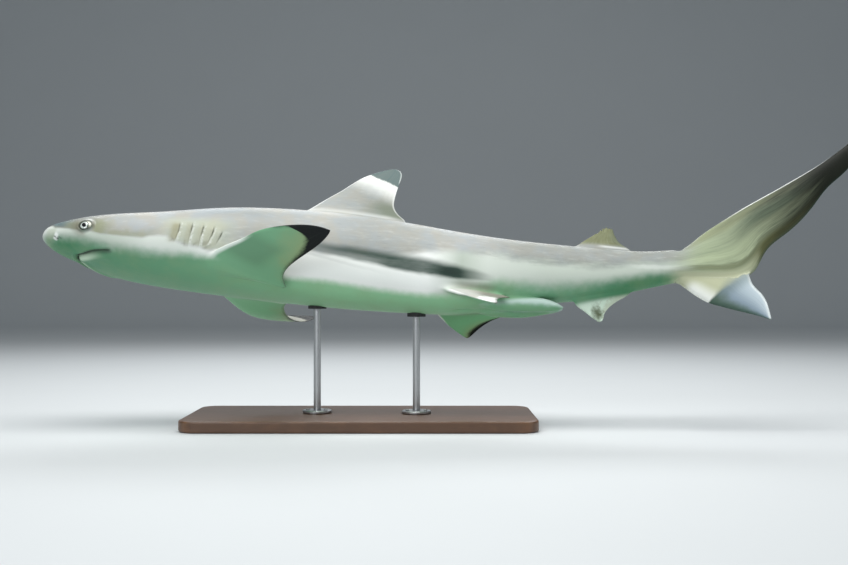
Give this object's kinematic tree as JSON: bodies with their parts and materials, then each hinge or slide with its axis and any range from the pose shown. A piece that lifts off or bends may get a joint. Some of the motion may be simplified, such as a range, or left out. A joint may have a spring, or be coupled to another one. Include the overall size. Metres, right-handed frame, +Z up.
{
  "type": "blacktip reef shark model",
  "caption": "Life-size still model of a blacktip reef shark swimming, banked to show its flank and belly, on a flat base with short rods.",
  "frame": {"origin": "middle of the underside of the stand's base", "axes": "+Z up, +X from the shark's snout towards its tail, -Y the side its left flank shows to"},
  "size_m": [1.3392, 0.3231, 0.482],
  "materials": {
    "skin": "satin, grey-brown back, white belly, black fin tips",
    "eye": "gloss",
    "base": "dark stained and varnished",
    "steel": "satin",
    "pad": "matt"
  },
  "bodies": {
    "root": {"head": "skin", "lower_jaw": "skin", "gill_region": "skin", "trunk": "skin", "hind_trunk": "skin", "tail_stalk": "skin", "caudal_fin_upper": "skin", "caudal_fin_lower": "skin", "first_dorsal_fin": "skin", "second_dorsal_fin": "skin", "anal_fin": "skin", "pectoral_fin_left": "skin", "pectoral_fin_right": "skin", "pelvic_fin_left": "skin", "pelvic_fin_right": "skin", "clasper_left": "skin", "clasper_right": "skin", "eye_left": "eye", "eye_right": "eye", "stand_base": "base", "stand_pad_front": "pad", "stand_rod_front": "steel", "stand_flange_front": "steel", "stand_screw_front_1": "steel", "stand_screw_front_2": "steel", "stand_screw_front_3": "steel", "stand_pad_rear": "pad", "stand_rod_rear": "steel", "stand_flange_rear": "steel", "stand_screw_rear_1": "steel", "stand_screw_rear_2": "steel", "stand_screw_rear_3": "steel"}
  },
  "joints": []
}
